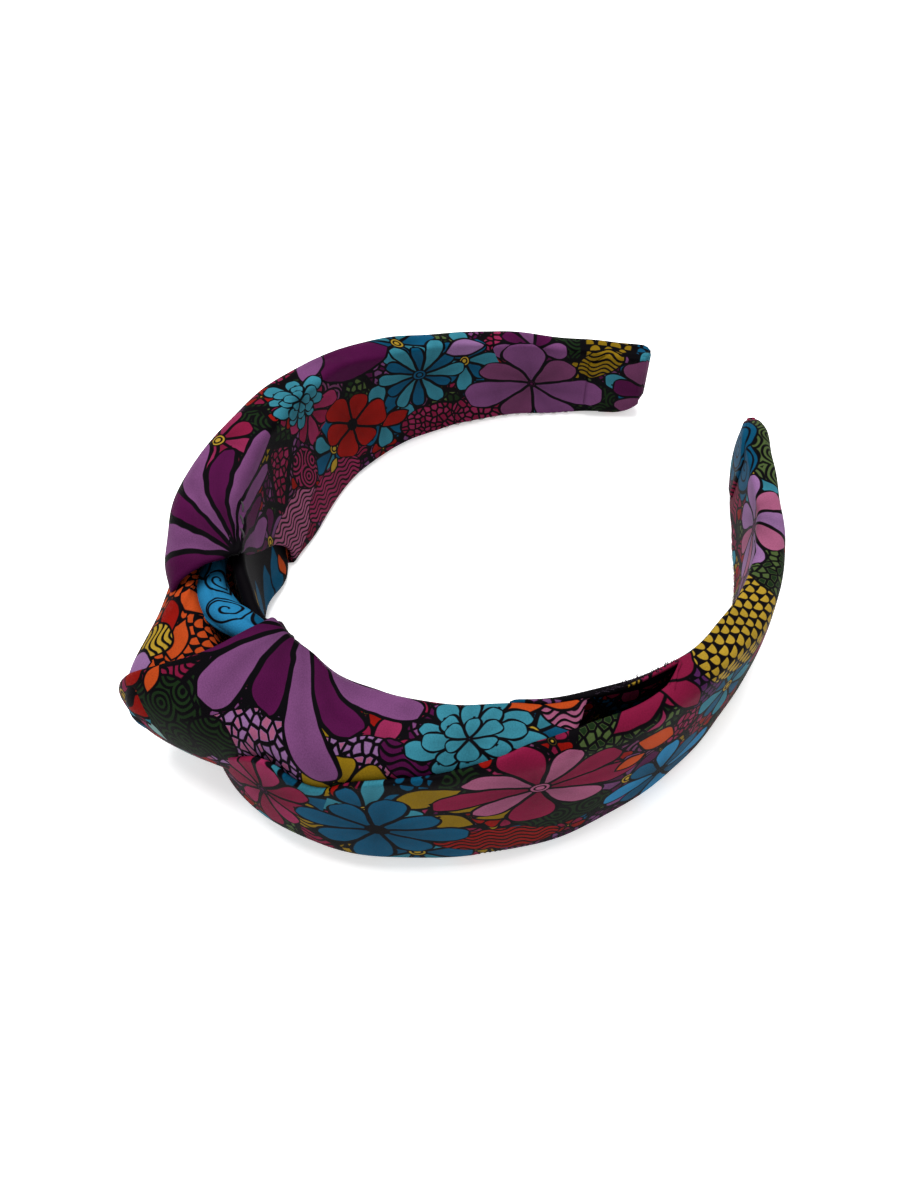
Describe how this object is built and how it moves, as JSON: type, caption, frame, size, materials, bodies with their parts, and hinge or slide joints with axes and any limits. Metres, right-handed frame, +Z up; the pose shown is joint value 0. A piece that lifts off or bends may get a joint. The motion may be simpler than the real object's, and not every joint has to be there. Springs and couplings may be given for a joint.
{
  "type": "knotted headband",
  "caption": "Fabric-covered hoop headband with a large knot at the crown, loose puffy leg covers with an open fold, and narrow folded tips; the legs spring apart.",
  "frame": {"origin": "centre of the whole headband's box in plan, at the surface that its lower edge lies on", "axes": "+Z up, square to the hoop's plane; +Y from the knot towards the two tips; +X towards the right leg"},
  "size_m": [0.1466, 0.1898, 0.0483],
  "materials": {
    "printed_fabric": "matte woven floral print",
    "hoop_plastic": "satin",
    "white_thread": "spun thread",
    "black_thread": "spun thread"
  },
  "bodies": {
    "crown": {"knot_wrap": "printed_fabric", "knot_under_strand": "printed_fabric", "knot_return_strand": "printed_fabric", "core_band": "hoop_plastic", "inner_sleeve": "printed_fabric", "sleeve_seam_stitches": "black_thread"},
    "right_leg": {"right_leg_cover": "printed_fabric", "knot_wrap_tail": "printed_fabric", "right_tip_tab": "printed_fabric", "right_seam_stitches": "white_thread"},
    "left_leg": {"left_leg_cover": "printed_fabric", "left_tip_tab": "printed_fabric", "left_seam_stitches": "white_thread", "gather_stitches": "black_thread"}
  },
  "joints": [
    {"name": "right_leg_flex", "type": "hinge", "parent": "crown", "child": "right_leg", "pos_m": [0.02981, -0.07773, 0.0225], "axis": [0, 0, -1], "range_deg": [-2, 15], "stiffness_Nm_per_rad": 0.8, "deforming": ["core_band", "inner_sleeve"]},
    {"name": "left_leg_flex", "type": "hinge", "parent": "crown", "child": "left_leg", "pos_m": [-0.03547, -0.07156, 0.0225], "axis": [0, 0, 1], "range_deg": [-2, 15], "stiffness_Nm_per_rad": 0.8, "deforming": ["core_band", "inner_sleeve"]}
  ]
}
